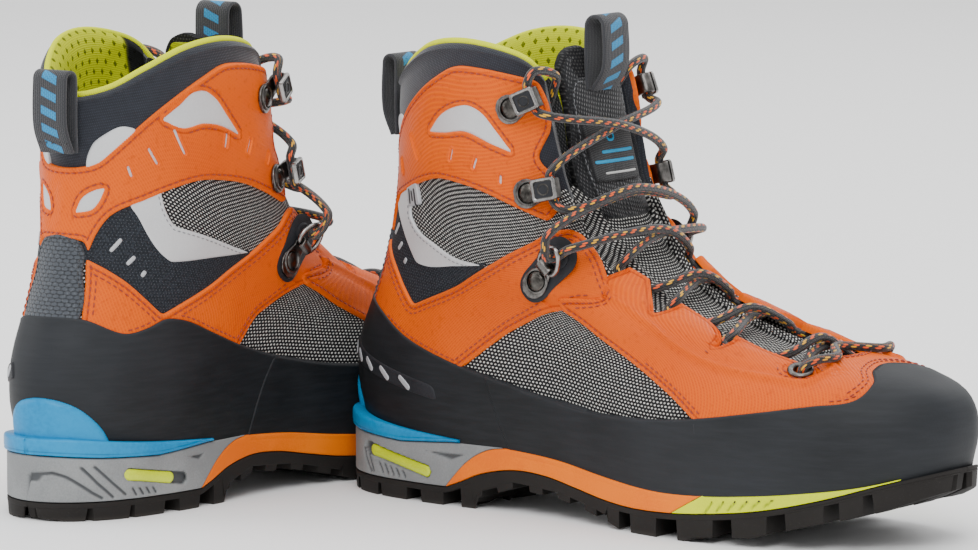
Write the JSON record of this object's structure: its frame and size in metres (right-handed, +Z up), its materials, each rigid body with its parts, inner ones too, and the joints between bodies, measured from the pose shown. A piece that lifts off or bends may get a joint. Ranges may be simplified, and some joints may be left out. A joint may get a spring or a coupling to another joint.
{
  "type": "mountaineering boots",
  "caption": "Pair of ankle-high laced mountaineering boots with rubber rand, lugged sole, grey heel counter, orange microfibre panels, hook lacing and pull loops.",
  "frame": {"origin": "centre of the pair's bounding box, on the ground", "axes": "+X along the right boot from heel to toe, +Y along the left boot from heel to toe, +Z up; the left boot stands behind the right one's heel, turned 90 degrees"},
  "size_m": [0.4048, 0.305, 0.2097],
  "materials": {
    "outsole_rubber": "moulded rubber, faint brown, worn lug edges",
    "grey_tpu": "moulded grey heel counter with grooves",
    "lime_gel": "translucent lime window",
    "blue_tpu": "moulded blue heel welt for a crampon's heel lever",
    "orange_foam": "moulded midsole foam, fine grain",
    "lime_foam": "moulded lime foam insert",
    "rand_rubber": "slate rubber rand, faint brushed grain",
    "base_fabric": "dark base textile with dotted mesh panels",
    "orange_microfibre": "fine embossed microfibre, stitched, lighter cut edges",
    "collar_softshell": "navy black stretch softshell",
    "lining_mesh": "lime spacer mesh lining",
    "tongue_softshell": "dark dotted knit tongue",
    "webbing": "black ribbed webbing with blue bars",
    "insole_felt": "dark felt insole",
    "insole_board": "stiff fibre board",
    "lace_cord": "round braided cord, black with orange and lime flecks",
    "gunmetal": "gunmetal plated steel, satin"
  },
  "bodies": {
    "right_boot": {"right_outsole": "outsole_rubber", "right_heel_wedge": "grey_tpu", "right_heel_window": "lime_gel", "right_heel_welt": "blue_tpu", "right_midsole": "orange_foam", "right_forefoot_insert": "lime_foam", "right_rand": "rand_rubber", "right_upper": "base_fabric", "right_cuff": "orange_microfibre", "right_quarter_lateral": "orange_microfibre", "right_quarter_medial": "orange_microfibre", "right_vamp": "orange_microfibre", "right_collar_pad": "collar_softshell", "right_lining": "lining_mesh", "right_insole": "insole_felt", "right_insole_board": "insole_board", "right_lace": "lace_cord", "right_hook_lateral_upper": "gunmetal", "right_hook_lateral_lower": "gunmetal", "right_hook_medial_upper": "gunmetal", "right_hook_medial_lower": "gunmetal", "right_lock_plate_lateral": "gunmetal", "right_lock_plate_medial": "gunmetal", "right_eyelet_lateral": "gunmetal", "right_eyelet_medial": "gunmetal"},
    "right_heel_loop": {"right_heel_loop": "webbing"},
    "right_tongue": {"right_tongue": "tongue_softshell"},
    "right_tongue_loop": {"right_tongue_loop": "webbing"},
    "right_lock_ring_lateral": {"right_lock_ring_lateral": "gunmetal"},
    "right_lock_ring_medial": {"right_lock_ring_medial": "gunmetal"},
    "left_boot": {"left_outsole": "outsole_rubber", "left_heel_wedge": "grey_tpu", "left_heel_window": "lime_gel", "left_heel_welt": "blue_tpu", "left_midsole": "orange_foam", "left_forefoot_insert": "lime_foam", "left_rand": "rand_rubber", "left_upper": "base_fabric", "left_cuff": "orange_microfibre", "left_quarter_lateral": "orange_microfibre", "left_quarter_medial": "orange_microfibre", "left_vamp": "orange_microfibre", "left_collar_pad": "collar_softshell", "left_lining": "lining_mesh", "left_insole": "insole_felt", "left_insole_board": "insole_board", "left_lace": "lace_cord", "left_hook_lateral_upper": "gunmetal", "left_hook_lateral_lower": "gunmetal", "left_hook_medial_upper": "gunmetal", "left_hook_medial_lower": "gunmetal", "left_lock_plate_lateral": "gunmetal", "left_lock_plate_medial": "gunmetal", "left_eyelet_lateral": "gunmetal", "left_eyelet_medial": "gunmetal"},
    "left_heel_loop": {"left_heel_loop": "webbing"},
    "left_tongue": {"left_tongue": "tongue_softshell"},
    "left_tongue_loop": {"left_tongue_loop": "webbing"},
    "left_lock_ring_lateral": {"left_lock_ring_lateral": "gunmetal"},
    "left_lock_ring_medial": {"left_lock_ring_medial": "gunmetal"}
  },
  "joints": [
    {"name": "left_boot_lift", "type": "slide", "parent": "right_boot", "child": "left_boot", "axis": [0, 0, 1], "range_m": [0, 0.25]},
    {"name": "right_tongue_flex", "type": "hinge", "parent": "right_boot", "child": "right_tongue", "pos_m": [0.13148, 0.02246, 0.07879], "axis": [0, -1, 0], "range_deg": [0, 2]},
    {"name": "right_tongue_loop_fold", "type": "hinge", "parent": "right_tongue", "child": "right_tongue_loop", "pos_m": [0.0232, 0.021, 0.178], "axis": [0, 1, 0], "range_deg": [0, 60]},
    {"name": "right_heel_loop_fold", "type": "hinge", "parent": "right_boot", "child": "right_heel_loop", "pos_m": [-0.0801, 0.021, 0.153], "axis": [0, -1, 0], "range_deg": [0, 60]},
    {"name": "right_lock_ring_lateral_tilt", "type": "hinge", "parent": "right_boot", "child": "right_lock_ring_lateral", "pos_m": [0.02736, -0.02461, 0.10665], "axis": [0.7425, -0.017, -0.6696], "range_deg": [-2, 3]},
    {"name": "right_lock_ring_medial_tilt", "type": "hinge", "parent": "right_boot", "child": "right_lock_ring_medial", "pos_m": [0.02735, 0.06582, 0.10647], "axis": [-0.7389, 0.005, 0.6738], "range_deg": [-2, 3]},
    {"name": "left_tongue_flex", "type": "hinge", "parent": "left_boot", "child": "left_tongue", "pos_m": [-0.14574, 0.08158, 0.07879], "axis": [1, 0, 0], "range_deg": [0, 2]},
    {"name": "left_tongue_loop_fold", "type": "hinge", "parent": "left_tongue", "child": "left_tongue_loop", "pos_m": [-0.1472, -0.0267, 0.178], "axis": [-1, 0, 0], "range_deg": [0, 60]},
    {"name": "left_heel_loop_fold", "type": "hinge", "parent": "left_boot", "child": "left_heel_loop", "pos_m": [-0.1472, -0.13, 0.153], "axis": [1, 0, 0], "range_deg": [0, 60]},
    {"name": "left_lock_ring_lateral_tilt", "type": "hinge", "parent": "left_boot", "child": "left_lock_ring_lateral", "pos_m": [-0.19281, -0.02254, 0.10665], "axis": [0.017, -0.7425, 0.6696], "range_deg": [-2, 3]},
    {"name": "left_lock_ring_medial_tilt", "type": "hinge", "parent": "left_boot", "child": "left_lock_ring_medial", "pos_m": [-0.10238, -0.02255, 0.10647], "axis": [-0.005, 0.7389, -0.6738], "range_deg": [-2, 3]}
  ]
}
